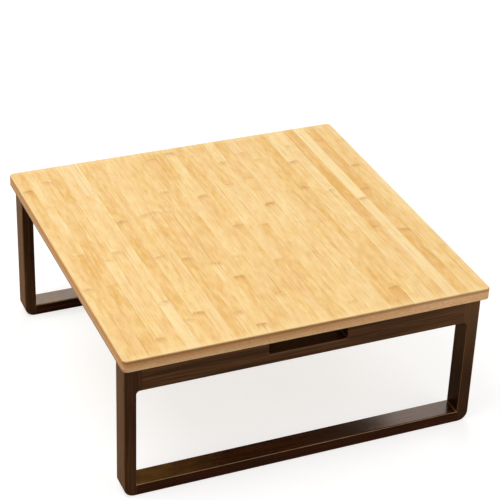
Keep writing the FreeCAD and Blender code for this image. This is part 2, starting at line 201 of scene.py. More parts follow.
class Recipe(Wiring):
    """A material in the making: its nodes, its shader and the place on the piece in millimetres."""

    def __init__(self, name: str) -> None:
        """Starts the material and finds the place on the piece and the way that the surface faces.

        Args:
            name: the real material and how its surface was made.
        """
        self.material = bpy.data.materials.new(name)
        self.material.use_nodes = True
        super().__init__(self.material.node_tree)
        self.shader = self.tree.nodes["Principled BSDF"]
        metres = self.add("TexCoord", output="Object")
        self.place = self.add("VectorMath", metres, None, None, MILLIMETRES, operation="SCALE")
        self.x, self.y, self.z = self.add("SeparateXYZ", self.place).node.outputs
        facing = self.add("VectorMath", self.add("TexCoord", output="Normal"), operation="ABSOLUTE")
        self.facing_x, self.facing_y, self.facing_z = self.add("SeparateXYZ", facing).node.outputs

    def shade(self, **values: Value) -> bpy.types.Material:
        """Feeds the shader, with underscores for the spaces in its sockets' names.

        Args:
            values: an output or a plain value for each named socket.

        Returns:
            The finished material.
        """
        for name, value in values.items():
            self.feed(self.shader.inputs[name.replace("_", " ")], value)
        return self.material

    def drawn_out(self, grain: Axis, width: float, length: float, start: Value = None) -> Socket:
        """Makes a noise that is drawn out along the grain, as fibres are.

        Args:
            grain: the axis that the fibres run along.
            width: about how far apart the fibres lie, in millimetres.
            length: about how long they run, in millimetres.
            start: where in the endless pattern the piece starts.

        Returns:
            The pattern, which keeps near a half.
        """
        scale = [1 / width for _ in Axis]
        scale[grain.value] = 1 / length
        spot = self.add("VectorMath", self.place, tuple(scale), start, operation="MULTIPLY_ADD")
        return self.add("TexNoise", spot, None, 1.0, *GRAIN_OCTAVES)

    def streaks(self, grain: Axis, spread: Spread, edge: Edge, start: Value = None) -> Socket:
        """Makes streaks along the grain, where a drawn-out noise is high.

        Args:
            grain: the axis that the streaks run along.
            spread: how far they run across and along the grain, and how much they count.
            edge: where the noise starts to show and where it shows in full.
            start: where in the endless pattern the piece starts.

        Returns:
            The share of the streaks.
        """
        width, length, amount = spread
        pattern = self.drawn_out(grain, width, length, start)
        return self.add("MapRange", pattern, *edge, 0.0, amount)

    def off_centre(self) -> Socket:
        """Measures how far out a point lies along X or Y.

        Returns:
            The greater of the two distances, in millimetres.
        """
        across = self.add("Math", self.x, operation="ABSOLUTE")
        along = self.add("Math", self.y, operation="ABSOLUTE")
        return self.add("Math", across, along, operation="MAXIMUM")

    def arris(self, broad: Axis, ramp: Ramp) -> Socket:
        """Finds where the surface turns over the rounded edge of a broad face.

        Args:
            broad: the axis that the broad faces look along.
            ramp: the squareness, 1 on a flat and 0.71 in the middle of an edge, where the edge
                starts and where it is full, and the values there.

        Returns:
            The share of the edge.
        """
        facing = (self.facing_x, self.facing_y, self.facing_z)[broad.value]
        square = self.add("Math", facing, facing, operation="MULTIPLY")
        rest = self.add("Math", 1.0, square, operation="SUBTRACT")
        sideways = self.add("Math", rest, operation="SQRT")
        squareness = self.add("Math", facing, sideways, operation="MAXIMUM")
        return self.add("MapRange", squareness, *ramp)

    def raised(self, height: Socket, depth: float, strength: float) -> Socket:
        """Gives the surface a fine relief.

        Args:
            height: the relief, from 0 to 1.
            depth: how far apart 0 and 1 are, in millimetres.
            strength: the share of the relief that shows.

        Returns:
            The normal for the shader.
        """
        sizes = {"Height": height, "Distance": depth / MILLIMETRES, "Strength": strength}
        return self.add("Bump", named=sizes)


@dataclass
class Strip:
    """The strip of the board that a point lies in: where it is, and the chances drawn for it."""

    tall: Socket
    layer: Socket
    column: Socket
    off_middle: Socket
    chance: Socket
    gap_chance: Socket
    start_chance: Socket
    start: Socket


@dataclass
class Culm:
    """The length of culm at a point, how far the point lies past a node, and how clear that node is."""

    chance: Socket
    start: Socket
    past_node: Socket
    clearness: Socket


@dataclass(frozen=True)
class LacqueredBamboo:
    """Plain-pressed bamboo board under a satin lacquer.

    The board is layers of flat strips glued side by side, so the eye gets honey strips of slightly
    different tone, fine fibres along them, and the thin brown lines of the culm's nodes at random.
    The edges are sawn and look browner, with painted light that makes them paler towards the underside
    and the right end, and a painted rim highlight just inside them on the face. A dark line runs along
    the routed arris round the face, and painted shade darkens the lower arris of the sides.
    """

    # How high the board's two faces are, and how far from its middle the edges.
    underside: float
    upper_face: float
    half_width: float
    strip_width: float = 19.35
    layer_height: float = 5.0
    # The layers start this far over the underside, so that the upper face isn't on a layer's border.
    layer_lift: float = 0.01
    # Picks the random draws: with this one a strip near the right edge is the palest.
    seed: float = 33177.0
    # How far apart in the endless patterns two strips or lengths of culm may start.
    start_reach: float = 60.0
    # How far apart a strip's nodes are, where in a culm length they lie, and how they run across it.
    node_gap: Ramp = (0.0, 1.0, 170.0, 330.0)
    node_place: Ramp = (0.0, 1.0, 0.2, 0.8)
    node_lean: Ramp = (0.0, 1.0, -5.0, 5.0)
    node_bow: float = 6.0
    node_ragged: float = 5.0
    ragged_octaves: Octaves = (3.0, 0.6)
    node_wobble: Ramp = (0.0, 1.0, -4.0, 4.0)
    # A node is a broken line with a stain on one side and a pale halo on the other, some clearer.
    node_clear: Ramp = (0.0, 1.0, 0.12, 0.88)
    node_side: Ramp = (0.5, 0.3, 0.35, 1.0)
    node_line: Ramp = (0.3, 4.6, 0.4, 0.0)
    node_broken: Ramp = (0.42, 0.6, 0.1, 1.0)
    node_turn: Ramp = (-0.6, 2.0, 0.0, 1.0)
    node_stain: Ramp = (-16.0, 0.0, 0.0, 0.72)
    node_halo: Ramp = (8.0, 0.0, 0.0, 0.15)
    node_patch: float = 9.0
    node_patchy: Ramp = (0.36, 0.56, 0.4, 1.0)
    # The patterns of tone along the strips, and where the tones lie between palest and deepest.
    band: Spread = (3.0, 150.0, 0.55)
    mottle: Spread = (8.0, 32.0, 1.3)
    cloud: Spread = (60.0, 260.0, 0.7)
    strip_share: float = 0.34
    culm_share: float = 0.3
    pale_strip: Ramp = (0.0, 0.14, -0.2, 0.0)
    pale_at: float = 0.1
    honey_at: float = 0.5
    deep_at: float = 0.9
    # Some lengths of culm are rosier than others, and dark veins run in them here and there.
    blush: Spread = (28.0, 110.0, 0.35)
    blush_edge: Edge = (0.42, 0.66)
    vein: Spread = (2.0, 120.0, 0.75)
    vein_edge: Edge = (0.58, 0.72)
    # Glue lines are about 0.1 mm wide, drawn coarser so that they show. They come and go along the
    # board, and on the edges they also show between the layers.
    glue_line: Ramp = (0.0, 1.2, 1.0, 0.0)
    glue_clear: Ramp = (0.2, 1.0, 0.05, 0.45)
    glue_patch: Spread = (30.0, 55.0, 1.0)
    glue_broken: Edge = (0.44, 0.6)
    layer_seam: Ramp = (0.0, 0.9, 0.35, 0.0)
    # Fibres are about 0.3 mm wide, drawn coarser as well.
    fibre: Spread = (1.1, 80.0, 0.2)
    fibre_streak: Edge = (0.48, 0.78)
    # The ends of the fibre bundles, about 0.5 mm apart on the sawn edges, drawn coarser as well.
    bundle: float = 1.5
    bundle_dot: Ramp = (0.2, 0.5, 0.3, 0.0)
    # A surface that looks up or down is a face, and one that looks sideways is an edge.
    lying: Ramp = (0.3, 0.95, 0.0, 1.0)
    # The sawn edges, which are painted paler towards the underside and browner towards the top, as
    # painted light from the floor below, measured up from the underside.
    sawn_share: float = 0.75
    sawn_painted_light_rise: Ramp = (2.0, 12.0, 0.0, 1.0)
    # Towards the right end they are painted fairer, as painted light from the front right.
    sawn_painted_light_right: Ramp = (-320.0, -70.0, 0.0, 1.0)
    # Along the sides the lower arris is painted darker, as painted shade, measured up from the
    # underside as well.
    lower_arris_shade: Ramp = (7.5, 2.0, 0.0, 0.7)
    # The arris is dark from where the upper face turns down to a little way down the edge. Across
    # the grain it soaks up more of the lacquer, so that it's darker there.
    arris_top: Ramp = (-0.1, -1.1, 0.0, 1.0)
    arris_fade: Ramp = (-7.0, -3.0, 0.0, 1.0)
    arris_soak: Ramp = (0.0, 0.5, 0.12, 0.5)
    # Just inside the edges the face is painted paler, as a painted rim highlight.
    rim_highlight: Ramp = (-16.0, -4.0, 0.0, 0.4)
    pale: str = "#FEE3A8"
    honey: str = "#F8D18B"
    deep: str = "#E8B460"
    rosy: str = "#F4C590"
    streak: str = "#CE9548"
    node: str = "#A05914"
    stain: str = "#CA8537"
    halo: str = "#FCE2AC"
    # The sawn edges' colours: the low and the fair one are painted light.
    sawn_lit_low: str = "#F8CA9A"
    sawn_high: str = "#D49462"
    sawn_lit_fair: str = "#FFC694"
    # The painted shade along the sides' lower arris.
    painted_shade_brown: str = "#4E3728"
    arris: str = "#703C12"
    # The lacquer is thin and rubbed down, so that it mirrors little.
    satin: Ramp = (0.3, 0.7, 0.42, 0.54)
    ior: float = 1.5
    specular: float = 0.05
    # The fibres stand up by this much, and the glue lines lie lower.
    relief: float = 0.06
    relief_share: float = 0.35
    glue_sunk: float = -0.6

    def lay_strips(self, recipe: Recipe) -> Strip:
        """Divides the board into layers of strips.

        Args:
            recipe: the material.

        Returns:
            The strip at each point.
        """
        add = recipe.add
        rise = add("Math", recipe.z, self.underside + self.layer_lift, operation="SUBTRACT")
        tall = add("Math", rise, self.layer_height, operation="DIVIDE")
        layer = add("Math", tall, operation="FLOOR")
        seeded = add("Math", layer, self.seed, operation="ADD")
        stagger = add("TexWhiteNoise", None, seeded, noise_dimensions="1D")
        across = add("Math", recipe.x, 1 / self.strip_width, stagger, operation="MULTIPLY_ADD")
        column = add("Math", across, operation="FLOOR")
        share = add("Math", across, operation="FRACT")
        off_middle = add("Math", share, MIDDLE, operation="SUBTRACT")
        chances = add("TexWhiteNoise", add("CombineXYZ", column, layer, self.seed), output="Color")
        chance, gap_chance, start_chance = add("SeparateXYZ", chances).node.outputs
        start = add("VectorMath", chances, None, None, self.start_reach, operation="SCALE")
        return Strip(tall, layer, column, off_middle, chance, gap_chance, start_chance, start)

    def cut_culms(self, recipe: Recipe, strip: Strip) -> Culm:
        """Divides each strip at its nodes.

        Args:
            recipe: the material.
            strip: the strip at each point.

        Returns:
            The length of culm at each point.
        """
        add = recipe.add
        gap = add("MapRange", strip.gap_chance, *self.node_gap)
        along = add("Math", recipe.y, gap, operation="DIVIDE")
        along = add("Math", along, strip.start_chance, operation="ADD")
        count = add("Math", along, operation="FLOOR")
        counted = add("CombineXYZ", strip.column, strip.layer, count)
        chances = add("TexWhiteNoise", counted, output="Color")
        place_chance, clear_chance, lean_chance = add("SeparateXYZ", chances).node.outputs
        place = add("MapRange", place_chance, *self.node_place)
        share = add("Math", add("Math", along, operation="FRACT"), place, operation="SUBTRACT")
        passed = add("Math", share, 0.0, operation="GREATER_THAN")
        length = add("Math", count, passed, operation="ADD")
        counted = add("CombineXYZ", length, strip.layer, strip.column)
        chances = add("TexWhiteNoise", counted, output="Color")
        chance = add("SeparateXYZ", chances)
        start = add("VectorMath", chances, None, None, self.start_reach, operation="SCALE")
        ragged = add("TexNoise", recipe.place, None, 1 / self.node_ragged, *self.ragged_octaves)
        wobble = add("MapRange", ragged, *self.node_wobble)
        past_node = add("Math", share, gap, wobble, operation="MULTIPLY_ADD")
        lean = add("MapRange", lean_chance, *self.node_lean)
        past_node = add("Math", strip.off_middle, lean, past_node, operation="MULTIPLY_ADD")
        bow = add("Math", strip.off_middle, strip.off_middle, operation="MULTIPLY")
        past_node = add("Math", bow, self.node_bow, past_node, operation="MULTIPLY_ADD")
        clear = add("Math", clear_chance, clear_chance, operation="MULTIPLY")
        side = add("MapRange", add("Math", strip.off_middle, operation="ABSOLUTE"), *self.node_side)
        clear = add("Math", add("MapRange", clear, *self.node_clear), side, operation="MULTIPLY")
        return Culm(chance, start, past_node, clear)

    def tone(self, recipe: Recipe, strip: Strip, culm: Culm) -> Socket:
        """Adds up the patterns of light and dark.

        Args:
            recipe: the material.
            strip: the strip at each point.
            culm: the length of culm at each point.

        Returns:
            The tone, about 0 where it is palest and 1 where it is deepest.
        """
        patterns = [(strip.chance, self.strip_share), (culm.chance, self.culm_share)]
        for width, length, amount in (self.band, self.mottle, self.cloud):
            patterns.append((recipe.drawn_out(Axis.LENGTHWISE, width, length, strip.start), amount))
        middle = MIDDLE - sum(MIDDLE * amount for _, amount in patterns)
        paler = recipe.add("MapRange", strip.chance, *self.pale_strip)
        tone = recipe.add("Math", paler, middle, operation="ADD")
        for pattern, amount in patterns:
            tone = recipe.add("Math", pattern, amount, tone, operation="MULTIPLY_ADD")
        return tone

    def mark_nodes(
        self, recipe: Recipe, colour: Socket, culm: Culm, fibre: Socket, face: Socket
    ) -> Socket:
        """Draws the nodes on the faces.

        Args:
            recipe: the material.
            colour: the board's colour so far.
            culm: the length of culm at each point.
            fibre: the pattern of the fibres, which breaks the lines up.
            face: 1 on the faces and 0 on the edges.

        Returns:
            The colour with the nodes.
        """
        add = recipe.add
        patches = add("TexNoise", recipe.place, None, 1 / self.node_patch)
        patchy = add("MapRange", patches, *self.node_patchy)
        shows = add("Math", culm.clearness, face, operation="MULTIPLY")
        shows = add("Math", shows, patchy, operation="MULTIPLY")
        after = add("MapRange", culm.past_node, *self.node_turn)
        before = add("Math", 1.0, after, operation="SUBTRACT")
        sides = ((before, self.node_stain, self.stain), (after, self.node_halo, self.halo))
        for side, fade, tint in sides:
            beside = add("MapRange", culm.past_node, *fade, interpolation_type="SMOOTHSTEP")
            beside = add("Math", beside, side, operation="MULTIPLY")
            beside = add("Math", beside, shows, operation="MULTIPLY")
            colour = add("MixRGB", beside, colour, linear(tint))
        off = add("Math", culm.past_node, operation="ABSOLUTE")
        line = add("MapRange", off, *self.node_line, interpolation_type="SMOOTHSTEP")
        line = add("Math", line, add("MapRange", fibre, *self.node_broken), operation="MULTIPLY")
        line = add("Math", line, shows, operation="MULTIPLY")
        return add("MixRGB", line, colour, linear(self.node))

    def seams(self, recipe: Recipe, strip: Strip, culm: Culm, edge: Socket) -> Socket:
        """Finds the glue lines between strips, and between layers where an edge shows them.

        Args:
            recipe: the material.
            strip: the strip at each point.
            culm: the length of culm at each point.
            edge: 1 on the edges and 0 on the faces.

        Returns:
            How clear the lines are.
        """
        add = recipe.add
        beside = add("Math", strip.off_middle, operation="ABSOLUTE")
        beside = add("Math", beside, -self.strip_width, self.strip_width / 2, operation="MULTIPLY_ADD")
        glue = add("MapRange", beside, *self.glue_line)
        glue = add("Math", glue, add("MapRange", culm.chance, *self.glue_clear), operation="MULTIPLY")
        patch = recipe.streaks(Axis.LENGTHWISE, self.glue_patch, self.glue_broken)
        glue = add("Math", glue, patch, operation="MULTIPLY")
        above = add("Math", strip.tall, operation="FRACT")
        above = add("Math", above, MIDDLE, operation="SUBTRACT")
        above = add("Math", above, operation="ABSOLUTE")
        above = add("Math", above, -self.layer_height, self.layer_height / 2, operation="MULTIPLY_ADD")
        seam = add("Math", add("MapRange", above, *self.layer_seam), edge, operation="MULTIPLY")
        return add("Math", glue, seam, operation="MAXIMUM")

    def saw_edges(self, recipe: Recipe, colour: Socket, edge: Socket) -> Socket:
        """Draws the sawn edges, their fibres' ends, painted light and shade, and the arris round the
        face.

        Args:
            recipe: the material.
            colour: the board's colour so far.
            edge: 1 on the edges and 0 on the faces.

        Returns:
            The colour with the edges.
        """
        add = recipe.add
        # Painted light: paler towards the underside, lit from the floor below.
        rise = add("MapRange", recipe.z, *moved(self.sawn_painted_light_rise, self.underside))
        sawn = add("MixRGB", rise, linear(self.sawn_lit_low), linear(self.sawn_high))
        # Painted light: fairer towards the right end, lit from the front right.
        lit_right = add("MapRange", recipe.x, *moved(self.sawn_painted_light_right, self.half_width))
        sawn = add("MixRGB", lit_right, sawn, linear(self.sawn_lit_fair))
        share = add("Math", edge, self.sawn_share, operation="MULTIPLY")
        colour = add("MixRGB", share, colour, sawn)
        ends = add("TexVoronoi", recipe.place, None, 1 / self.bundle)
        dots = add("Math", edge, add("MapRange", ends, *self.bundle_dot), operation="MULTIPLY")
        dots = add("Math", dots, recipe.facing_y, operation="MULTIPLY")
        colour = add("MixRGB", dots, colour, linear(self.arris))
        # Painted shade along the lower arris of the sides.
        lower_shade = add("MapRange", recipe.z, *moved(self.lower_arris_shade, self.underside))
        lower_shade = add("Math", lower_shade, recipe.facing_x, operation="MULTIPLY")
        colour = add("MixRGB", lower_shade, colour, linear(self.painted_shade_brown))
        upper = add("MapRange", recipe.z, *moved(self.arris_fade, self.upper_face))
        line = add("MapRange", recipe.z, *moved(self.arris_top, self.upper_face))
        line = add("Math", line, upper, operation="MULTIPLY")
        soak = add("MapRange", recipe.facing_y, *self.arris_soak)
        line = add("Math", line, soak, operation="MULTIPLY")
        return add("MixRGB", line, colour, linear(self.arris))

    def make(self) -> bpy.types.Material:
        """Builds the material.

        Returns:
            The material, for the whole board.
        """
        recipe = Recipe("Plain-pressed bamboo, sanded and satin lacquered")
        add = recipe.add
        face = add("MapRange", recipe.facing_z, *self.lying)
        edge = add("Math", 1.0, face, operation="SUBTRACT")
        strip = self.lay_strips(recipe)
        culm = self.cut_culms(recipe, strip)
        tone = self.tone(recipe, strip, culm)
        stops = ((self.pale_at, self.pale), (self.deep_at, self.deep), (self.honey_at, self.honey))
        colour = add("ValToRGB", tone, stops=stops)
        blush = recipe.streaks(Axis.LENGTHWISE, self.blush, self.blush_edge, culm.start)
        colour = add("MixRGB", blush, colour, linear(self.rosy))
        vein = recipe.streaks(Axis.LENGTHWISE, self.vein, self.vein_edge, culm.start)
        colour = add("MixRGB", vein, colour, linear(self.streak))
        width, length, amount = self.fibre
        fibre = recipe.drawn_out(Axis.LENGTHWISE, width, length, strip.start)
        streak = add("MapRange", fibre, *self.fibre_streak, 0.0, amount)
        colour = add("MixRGB", streak, colour, linear(self.streak))
        colour = self.mark_nodes(recipe, colour, culm, fibre, face)
        line = self.seams(recipe, strip, culm, edge)
        colour = add("MixRGB", line, colour, linear(self.node))
        # A painted rim highlight just inside the edges of the face.
        rim_highlight = add("MapRange", recipe.off_centre(), *moved(self.rim_highlight, self.half_width))
        rim_highlight = add("Math", rim_highlight, face, operation="MULTIPLY")
        colour = add("MixRGB", rim_highlight, colour, linear(self.pale))
        colour = self.saw_edges(recipe, colour, edge)
        height = add("Math", line, self.glue_sunk, fibre, operation="MULTIPLY_ADD")
        return recipe.shade(
            Base_Color=colour,
            Roughness=add("MapRange", fibre, *self.satin),
            IOR=self.ior,
            Specular_IOR_Level=self.specular,
            Normal=recipe.raised(height, self.relief, self.relief_share),
        )


@dataclass(frozen=True)
class LacqueredWood:
    """Straight-grained hardwood with a semi-gloss surface, stained or clear.

    The stain sinks unevenly into the grain, so the eye gets darker lines along each member, fine
    pores, and paler rounded edges, partly where sanding and hands have rubbed the stain thin and
    partly a painted highlight. On some members painted light lightens one end, a golden painted
    reflection lies at one end, golden lines run beside a joint, or painted shade darkens the grip.
    """

    name: str
    grain: Axis
    dark: str
    middle: str
    light: str
    rubbed_and_lit: str
    # Broad bands and fine lines of the grain, and where the tones lie between darkest and lightest.
    band: Spread = (5.0, 230.0, 1.5)
    line: Spread = (1.4, 90.0, 1.6)
    dark_at: float = 0.25
    middle_at: float = 0.5
    light_at: float = 0.8
    # Pores are about 0.2 mm wide, drawn coarser so that they show.
    pore: Spread = (0.5, 9.0, 0.6)
    pore_edge: Edge = (0.58, 0.75)
    # Which way the broad faces look, and where the edges between them are paler in patches, partly
    # rubbed and partly a painted highlight.
    broad: Axis = Axis.LENGTHWISE
    worn_and_lit_edge: Ramp = (0.95, 0.78, 0.0, 1.0)
    rub_size: float = 25.0
    rub_worn: Ramp = (0.3, 0.7, 0.35, 0.85)
    # Where along the upper face it turns golden: towards one end as a painted reflection of the
    # board's underside, and in lines beside the joints.
    reflection_and_joint_lines: tuple[Ramp, ...] = ()
    golden: str = "#A87A3C"
    # Where along the grain every face is painted lighter, as painted light on the lit end.
    painted_light_along: Ramp | None = None
    # How high a grip is cut, which is painted darker inside as painted shade in the recess.
    grip_shade: Ramp | None = None
    grip_shade_colour: str = "#220200"
    gloss: Ramp = (0.3, 0.7, 0.26, 0.4)
    ior: float = 1.5
    specular: float = 0.4
    # The lacquer is amber, so what it mirrors straight on is warm.
    amber: str = "#F3D9BE"
    # The grain lines stand up by this much, and the pores lie lower.
    relief: float = 0.08
    relief_share: float = 0.4
    pore_sunk: float = -0.8

    def make(self) -> bpy.types.Material:
        """Builds the material.

        Returns:
            The material, for members whose grain runs this way.
        """
        recipe = Recipe(self.name)
        add = recipe.add
        spreads = (self.band, self.line)
        tone: Value = MIDDLE - sum(MIDDLE * amount for _, _, amount in spreads)
        for width, length, amount in spreads:
            pattern = recipe.drawn_out(self.grain, width, length)
            tone = add("Math", pattern, amount, tone, operation="MULTIPLY_ADD")
        stops = ((self.dark_at, self.dark), (self.light_at, self.light), (self.middle_at, self.middle))
        colour = add("ValToRGB", tone, stops=stops)
        pores = recipe.streaks(self.grain, self.pore, self.pore_edge)
        colour = add("MixRGB", pores, colour, linear(self.dark))
        wear = add("TexNoise", recipe.place, None, 1 / self.rub_size)
        wear = add("MapRange", wear, *self.rub_worn)
        # Golden on the upper face: a painted reflection of the board's underside towards one end, and
        # lines beside the joints.
        for reflection_and_joint_lines in self.reflection_and_joint_lines:
            lightened = add("MapRange", recipe.x, *reflection_and_joint_lines)
            lightened = add("Math", lightened, recipe.facing_z, operation="MULTIPLY")
            lightened = add("Math", lightened, wear, operation="MULTIPLY")
            colour = add("MixRGB", lightened, colour, linear(self.golden))
        # Painted light: lighter along the grain towards the lit end.
        if self.painted_light_along:
            along = (recipe.x, recipe.y, recipe.z)[self.grain.value]
            lightened = add("MapRange", along, *self.painted_light_along)
            colour = add("MixRGB", lightened, colour, linear(self.rubbed_and_lit))
        # Paler edges in patches, partly rubbed and partly a painted highlight.
        worn_and_lit = add("Math", recipe.arris(self.broad, self.worn_and_lit_edge), wear, operation="MULTIPLY")
        colour = add("MixRGB", worn_and_lit, colour, linear(self.rubbed_and_lit))
        # Painted shade inside the grip.
        if self.grip_shade:
            in_grip_shade = add("Math", 1.0, recipe.facing_y, operation="SUBTRACT")
            in_grip_shade = add("Math", in_grip_shade, add("MapRange", recipe.z, *self.grip_shade), operation="MULTIPLY")
            colour = add("MixRGB", in_grip_shade, colour, linear(self.grip_shade_colour))
        height = add("Math", pores, self.pore_sunk, pattern, operation="MULTIPLY_ADD")
        return recipe.shade(
            Base_Color=colour,
            Roughness=add("MapRange", pattern, *self.gloss),
            IOR=self.ior,
            Specular_IOR_Level=self.specular,
            Specular_Tint=linear(self.amber),
            Normal=recipe.raised(height, self.relief, self.relief_share),
        )


@dataclass(frozen=True)
class WorkedSteel:
    """Steel hardware with a plated, blued or turned surface.

    The bath leaves soft blooms of tint, rolling or turning leaves fine lines along the piece, and
    the rounded edges are polished brighter by handling.
    """

    name: str
    grain: Axis
    pale: str
    tint: str
    gloss: Ramp
    bloom: float = 7.0
    bloom_octaves: Octaves = (3.0, 0.55)
    bloom_edge: Ramp = (0.35, 0.65, 0.0, 1.0)
    # Rolling and turning lines are under 0.1 mm apart, drawn coarser so that they show.
    line: Spread = (0.35, 30.0, 0.35)
    line_edge: Edge = (0.55, 0.8)
    # Which way the broad faces look, and where the edges between them are polished.
    broad: Axis = Axis.CROSSWISE
    polish: Ramp = (0.99, 0.85, 0.0, 0.5)
    relief: float = 0.03
    relief_share: float = 0.3

    def make(self) -> bpy.types.Material:
        """Builds the material.

        Returns:
            The material, for pieces with this finish.
        """
        recipe = Recipe(self.name)
        add = recipe.add
        bloom = add("TexNoise", recipe.place, None, 1 / self.bloom, *self.bloom_octaves)
        tinted = add("MapRange", bloom, *self.bloom_edge)
        colour = add("MixRGB", tinted, linear(self.pale), linear(self.tint))
        width, length, amount = self.line
        line = recipe.drawn_out(self.grain, width, length)
        scored = add("MapRange", line, *self.line_edge, 0.0, amount)
        colour = add("MixRGB", scored, colour, linear(self.tint), blend_type="MULTIPLY")
        polished = recipe.arris(self.broad, self.polish)
        colour = add("MixRGB", polished, colour, linear(self.pale))
        return recipe.shade(
            Base_Color=colour,
            Metallic=1.0,
            Roughness=add("MapRange", line, *self.gloss),
            Normal=recipe.raised(line, self.relief, self.relief_share),
        )


Finish = LacqueredBamboo | LacqueredWood | WorkedSteel
MaterialsByFinish = dict[Finish, bpy.types.Material]

# The pieces that the places on the finishes are measured from. The back frame is like the front.
BOARD = box_round(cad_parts["tabletop"])
POST = box_round(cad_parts["front_right_post"])
TOP_RAIL = box_round(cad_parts["front_top_rail"])
FOOT_RAIL = box_round(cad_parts["front_foot_rail"])

# Pale honey strips with a soft sheen, and browner edges.
BAMBOO_BOARD = LacqueredBamboo(BOARD.low.z, BOARD.high.z, BOARD.high.x)
# Dark brown with upright lines, and a warm gleam where it mirrors the floor.
STAINED_POST = LacqueredWood(
    "Walnut-stained hardwood post, lacquered", Axis.UPRIGHT,
    dark="#190A04", middle="#2F180A", light="#492B17", rubbed_and_lit="#8E6A42",
)
# A shaded and lit copy of the post: nearly black and reddish at the foot as painted shade, and a
# lighter brown near the top as painted light.
SHADED_POST_LIT_TOP = replace(
    STAINED_POST, name="Walnut-stained hardwood post, fading upwards, lacquered",
    dark="#0F0201", middle="#1E0803", light="#33140B",
    painted_light_along=moved((-150.0, -25.0, 0.0, 0.31), POST.high.z),
)
# The lightest brown of the frame, with lines along it, painted lighter towards the right end as
# painted light, and a grip made nearly black by painted shade.
STAINED_TOP_RAIL = LacqueredWood(
    "Walnut-stained hardwood top rail, lacquered", Axis.CROSSWISE,
    dark="#25140A", middle="#402714", light="#5C3C24", rubbed_and_lit="#7A5636",
    grip_shade=moved((-35.0, -31.0, 0.0, 1.0), TOP_RAIL.high.z),
    painted_light_along=moved((-146.0, -4.0, 0.0, 0.14), TOP_RAIL.high.x),
)
# The darkest and reddest, with a clearer gloss, a golden left end that is a painted reflection of
# the board's underside, golden lines at the joints, and pale edges that are partly a painted highlight.
STAINED_FOOT_RAIL = LacqueredWood(
    "Walnut-stained hardwood foot rail, lacquered", Axis.CROSSWISE,
    dark="#100201", middle="#250803", light="#3F1709", rubbed_and_lit="#A88560",
    amber="#EAC09C", gloss=(0.3, 0.7, 0.15, 0.27),
    reflection_and_joint_lines=(
        moved((154.0, 9.0, 0.0, 0.55), FOOT_RAIL.low.x),
        moved((3.5, 1.5, 0.0, 0.9), FOOT_RAIL.low.x),
        moved((-3.5, -1.5, 0.0, 0.9), FOOT_RAIL.high.x),
    ),
)
# Pale wood with fine lines and the slight gloss of its glue.
BEECH_DOWEL = LacqueredWood(
    "Beech dowel, milled", Axis.CROSSWISE,
    dark="#C79A6B", middle="#D9B184", light="#E6C79D", rubbed_and_lit="#EBD2AE", broad=Axis.CROSSWISE,
)
# Cool silver with a blue cast.
ZINC_PLATE = WorkedSteel(
    "Pressed steel, blue zinc plated", Axis.LENGTHWISE,
    pale="#CFDDEE", tint="#A9BFD9", gloss=(0.3, 0.7, 0.26, 0.42),
)
# Bright and neutral, with the clearest gloss.
TURNED_PIN = WorkedSteel(
    "Bright steel, turned", Axis.CROSSWISE,
    pale="#D9D8D4", tint="#B9B6B0", gloss=(0.3, 0.7, 0.18, 0.34),
)
# Dark blue-grey with small blooms.
BLUED_SPRING = WorkedSteel(
    "Spring steel, oil blued", Axis.LENGTHWISE,
    pale="#5B6478", tint="#3A3F4E", gloss=(0.3, 0.7, 0.28, 0.4), bloom=4.0,
)
# Straw gold that turns a little rosy in small blooms.
YELLOW_SCREW = WorkedSteel(
    "Screw steel, yellow passivated", Axis.UPRIGHT,
    pale="#D8B86A", tint="#B79A7A", gloss=(0.3, 0.7, 0.28, 0.42), bloom=2.0,
)
FINISHES: tuple[Finish, ...] = (
    BAMBOO_BOARD, STAINED_POST, SHADED_POST_LIT_TOP, STAINED_TOP_RAIL, STAINED_FOOT_RAIL, BEECH_DOWEL,
    ZINC_PLATE, TURNED_PIN, BLUED_SPRING, YELLOW_SCREW,
)


def dress(nodes: Nodes, name: str, material: bpy.types.Material) -> None:
    """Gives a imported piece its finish.

    Args:
        nodes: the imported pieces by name.
        name: the piece.
        material: its finish.
    """
    for slot in nodes[name].material_slots:
        slot.material = material
    LOG.info("%s: %s", name, material.name)


@dataclass
class TableTop:
    """The bamboo board that carries the hinges."""

    board: str = "tabletop"

    def dress(self, nodes: Nodes, materials: MaterialsByFinish) -> None:
        """Dresses the board.

        Args:
            nodes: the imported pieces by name.
            materials: the finished materials by their finishes.
        """
        dress(nodes, self.board, materials[BAMBOO_BOARD])


@dataclass
class LegFrame:
    """One loop-shaped leg frame: two posts, two rails and the dowels that hold them."""

    end: End

    def dress(self, nodes: Nodes, materials: MaterialsByFinish) -> None:
        """Dresses the frame's members.

        Args:
            nodes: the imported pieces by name.
            materials: the finished materials by their finishes.
        """
        members = {
            "left_post": STAINED_POST,
            "right_post": SHADED_POST_LIT_TOP,
            "top_rail": STAINED_TOP_RAIL,
            "foot_rail": STAINED_FOOT_RAIL,
            "dowels": BEECH_DOWEL,
        }
        for member, finish in members.items():
            dress(nodes, f"{self.end.value}_{member}", materials[finish])


